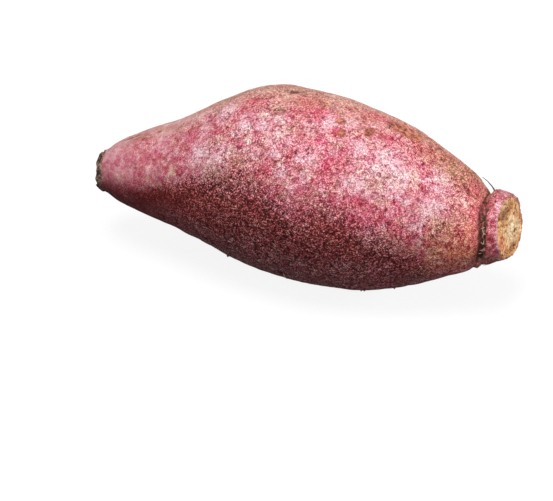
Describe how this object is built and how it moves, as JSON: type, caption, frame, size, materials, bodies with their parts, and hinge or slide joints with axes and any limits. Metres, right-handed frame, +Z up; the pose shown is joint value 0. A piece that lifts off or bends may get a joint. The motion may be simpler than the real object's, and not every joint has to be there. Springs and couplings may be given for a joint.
{
  "type": "sweet potato",
  "caption": "Whole raw sweet potato, a plump tapering storage root for food: purple-pink skin, a snapped tail, and a creased collar with a cut face at the crown, lying on its belly.",
  "frame": {"origin": "on the ground, under the middle of the root's bounding box", "axes": "+X along the root from the snapped tail to the cut crown, +Y to the back, +Z up"},
  "size_m": [0.1712, 0.0778, 0.0725],
  "materials": {
    "skin": "matte"
  },
  "bodies": {
    "root": {"sweet_potato": "skin"}
  },
  "joints": []
}
